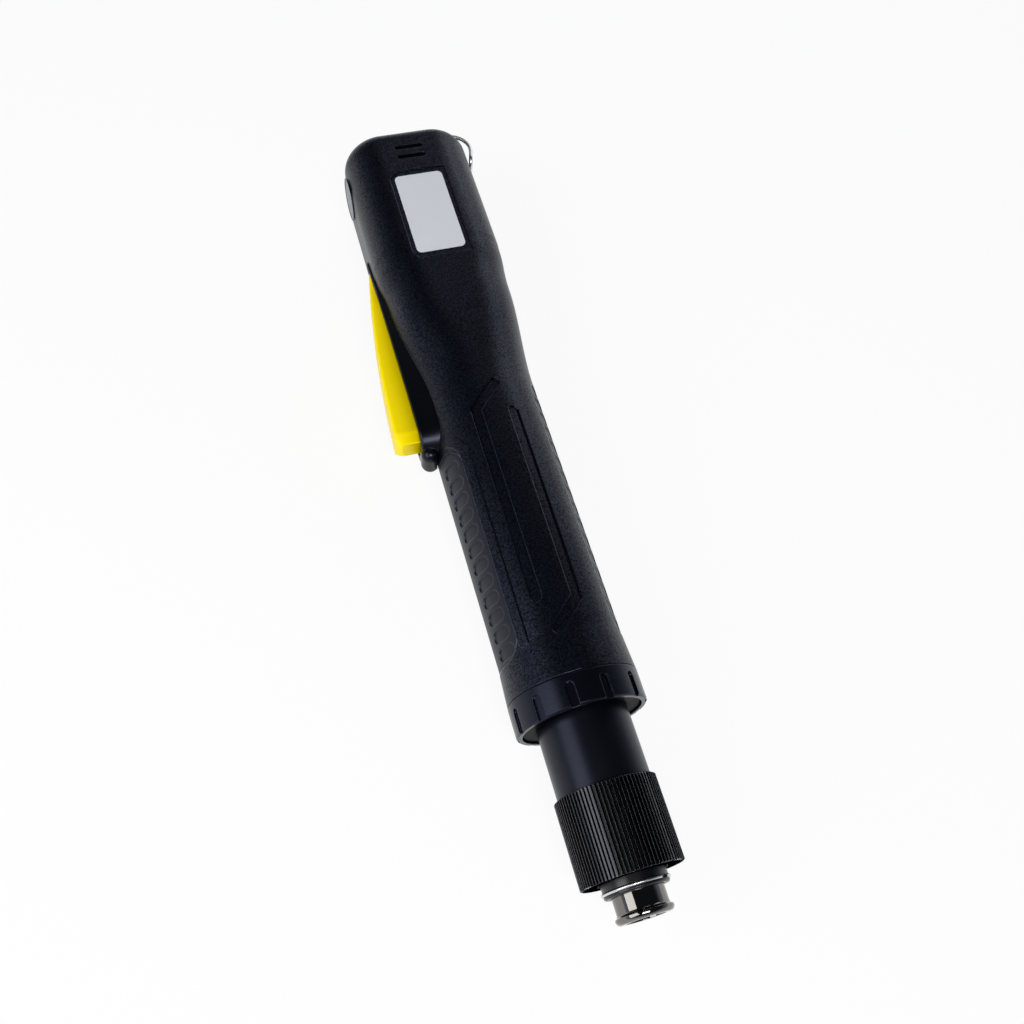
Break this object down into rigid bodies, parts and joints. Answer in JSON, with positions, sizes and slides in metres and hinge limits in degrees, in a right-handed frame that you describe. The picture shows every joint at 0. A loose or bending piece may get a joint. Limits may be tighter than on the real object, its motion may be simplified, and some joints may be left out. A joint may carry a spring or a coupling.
{
  "type": "electric torque screwdriver",
  "caption": "Hand-held electric screwdriver with a dimpled grip, a long start lever, a knurled torque nut and a bit release collar, lying on its rear face.",
  "frame": {"origin": "centre of the bit socket's mouth, on the tool's axis", "axes": "+Y along the tool from the bit to the butt, +Z out of the label face, -X towards the start lever; the tool lies on its rear face"},
  "size_m": [0.058, 0.283, 0.04],
  "materials": {
    "housing_black": "satin moulded nylon with a fine spark texture",
    "pad_rubber": "matt elastomer",
    "bezel_black": "glossy moulded plastic",
    "lever_yellow": "satin coloured plastic",
    "sticker_silver": "bare silver polyester film",
    "steel": "ground steel",
    "dark_chrome": "polished plate",
    "spring_steel": "drawn wire",
    "black_oxide": "black oxide on steel",
    "anodised": "satin black anodised",
    "magnet": "sintered ferrite",
    "board_green": "solder mask",
    "component_black": "moulded epoxy",
    "gold_contact": "plated contact",
    "carbon": "graphite"
  },
  "bodies": {
    "handle": {"upper_housing": "housing_black", "lower_housing": "housing_black", "housing_screws": "black_oxide", "grip_pad_front": "pad_rubber", "grip_pad_back": "pad_rubber", "lever_bezel": "bezel_black", "lever_pin": "steel", "lever_spring": "spring_steel", "start_switch": "component_black", "switch_holder": "component_black", "rating_label": "sticker_silver", "side_badge": "sticker_silver", "power_socket": "component_black", "socket_insert": "component_black", "socket_pins": "gold_contact", "control_board": "board_green", "board_parts": "component_black", "direction_switch": "component_black", "coupling_ring": "bezel_black", "clutch_housing": "anodised", "bearing_outer_ring": "steel", "ring_gear": "steel", "motor_plate": "anodised", "motor_can": "steel", "motor_magnets": "magnet", "motor_end_bell": "component_black", "motor_brushes": "carbon"},
    "spindle": {"bit_holder": "steel", "holder_sleeve": "black_oxide", "retaining_ring": "spring_steel", "collar_snap_ring": "spring_steel", "collar_spring": "spring_steel", "lock_ball": "steel", "driven_cam": "steel", "clutch_balls": "steel", "drive_cam": "steel", "bearing_inner_ring": "steel", "bearing_balls": "steel", "planet_carrier": "steel", "carrier_pins": "steel"},
    "release_collar": {"collar": "dark_chrome"},
    "clutch_seat": {"spring_seat": "steel", "clutch_spring": "spring_steel"},
    "adjusting_nut": {"torque_nut": "anodised"},
    "motor_rotor": {"rotor": "steel", "sun_pinion": "steel"},
    "planet_1": {"planet_gear_1": "steel"},
    "planet_2": {"planet_gear_2": "steel"},
    "planet_3": {"planet_gear_3": "steel"},
    "start_lever": {"lever": "lever_yellow"},
    "plunger": {"switch_plunger": "component_black"},
    "direction_slider": {"direction_knob": "component_black"},
    "bail": {"hanging_bail": "dark_chrome"}
  },
  "joints": [
    {"name": "spindle_turn", "type": "hinge", "parent": "handle", "child": "spindle", "pos_m": [0, 0.03, 0], "axis": [0, 1, 0], "continuous": true},
    {"name": "rotor_turn", "type": "hinge", "parent": "handle", "child": "motor_rotor", "pos_m": [0, 0.1, 0], "axis": [0, 1, 0], "continuous": true},
    {"name": "planet_1_turn", "type": "hinge", "parent": "spindle", "child": "planet_1", "pos_m": [0, 0.0686, 0.00877], "axis": [0, 1, 0], "continuous": true},
    {"name": "planet_2_turn", "type": "hinge", "parent": "spindle", "child": "planet_2", "pos_m": [0.0076, 0.0686, -0.00439], "axis": [0, 1, 0], "continuous": true},
    {"name": "planet_3_turn", "type": "hinge", "parent": "spindle", "child": "planet_3", "pos_m": [-0.0076, 0.0686, -0.00439], "axis": [0, 1, 0], "continuous": true},
    {"name": "collar_slide", "type": "slide", "parent": "spindle", "child": "release_collar", "axis": [0, 1, 0], "range_m": [0, 0.003], "stiffness_N_per_m": 600, "springref_m": -0.002, "deforming": ["collar_spring"]},
    {"name": "seat_slide", "type": "slide", "parent": "handle", "child": "clutch_seat", "axis": [0, 1, 0], "range_m": [0, 0.0045], "deforming": ["clutch_spring"]},
    {"name": "nut_turn", "type": "hinge", "parent": "clutch_seat", "child": "adjusting_nut", "pos_m": [0, 0.022, 0], "axis": [0, 1, 0], "range_deg": [0, 1080]},
    {"name": "lever_press", "type": "hinge", "parent": "handle", "child": "start_lever", "pos_m": [-0.018, 0.2226, 0], "axis": [0, 0, 1], "range_deg": [0, 4.2], "stiffness_Nm_per_rad": 1.5, "springref_deg": -3.44, "deforming": ["lever_spring"]},
    {"name": "plunger_slide", "type": "slide", "parent": "handle", "child": "plunger", "axis": [1, 0, 0], "range_m": [0, 0.0009]},
    {"name": "direction_slide", "type": "slide", "parent": "handle", "child": "direction_slider", "axis": [1, 0, 0], "range_m": [-0.0025, 0.0025]},
    {"name": "bail_swing", "type": "hinge", "parent": "handle", "child": "bail", "pos_m": [0.0175, 0.2801, 0], "axis": [0, 0, 1], "range_deg": [0, 150]}
  ],
  "couplings": [
    {"joint": "rotor_turn", "follows": "spindle_turn", "ratio": 4.3333},
    {"joint": "planet_1_turn", "follows": "spindle_turn", "ratio": -2.8571},
    {"joint": "planet_2_turn", "follows": "spindle_turn", "ratio": -2.8571},
    {"joint": "planet_3_turn", "follows": "spindle_turn", "ratio": -2.8571},
    {"joint": "nut_turn", "follows": "seat_slide", "rad_per_m": 4188.8},
    {"joint": "plunger_slide", "follows": "lever_press", "m_per_rad": 0.0116}
  ]
}
